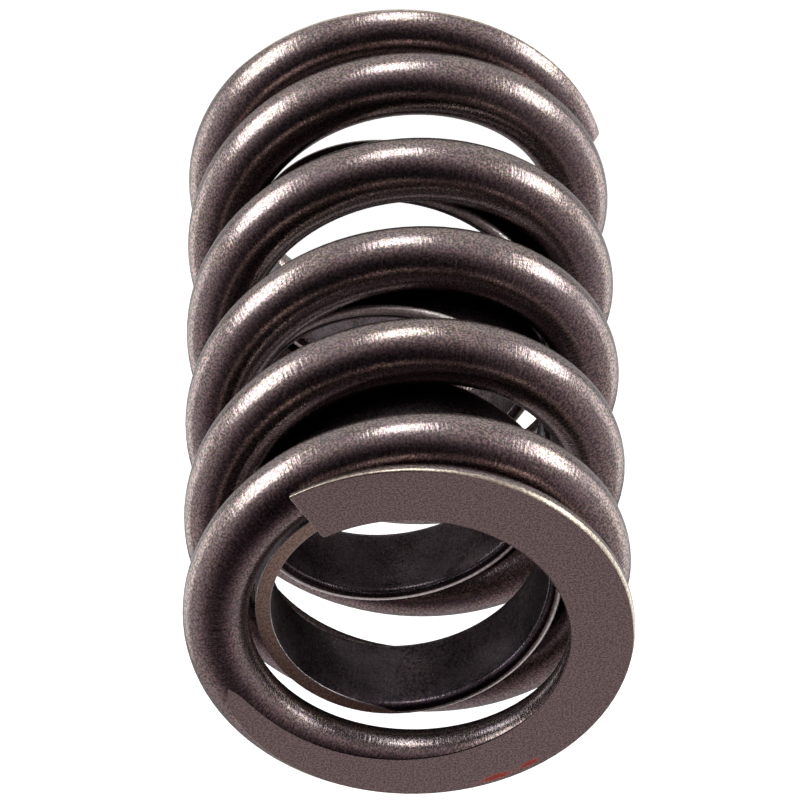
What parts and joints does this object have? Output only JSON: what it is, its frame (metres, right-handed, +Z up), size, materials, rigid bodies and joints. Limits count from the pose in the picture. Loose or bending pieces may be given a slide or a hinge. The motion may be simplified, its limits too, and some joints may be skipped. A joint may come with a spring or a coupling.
{
  "type": "engine valve spring",
  "caption": "Helical compression spring that closes an engine valve: round wire with closed, ground ends and a flat strip damper coil wound the other way inside it.",
  "frame": {"origin": "centre of the lower ground end face, where the spring stands on its seat", "axes": "+Z up along the spring's axis; -Y is the side where the top end of the wire is cut off; +X to the right seen from -Y"},
  "size_m": [0.0318, 0.0318, 0.0516],
  "materials": {
    "spring_wire": "oil-tempered chrome silicon wire, shot peened, dark brown-grey; ends ground to a fine matte",
    "damper_strip": "flat rolled spring strip, dark oil-tempered skin with a tan ground end"
  },
  "bodies": {
    "root": {"outer_spring": "spring_wire", "damper": "damper_strip"}
  },
  "joints": []
}
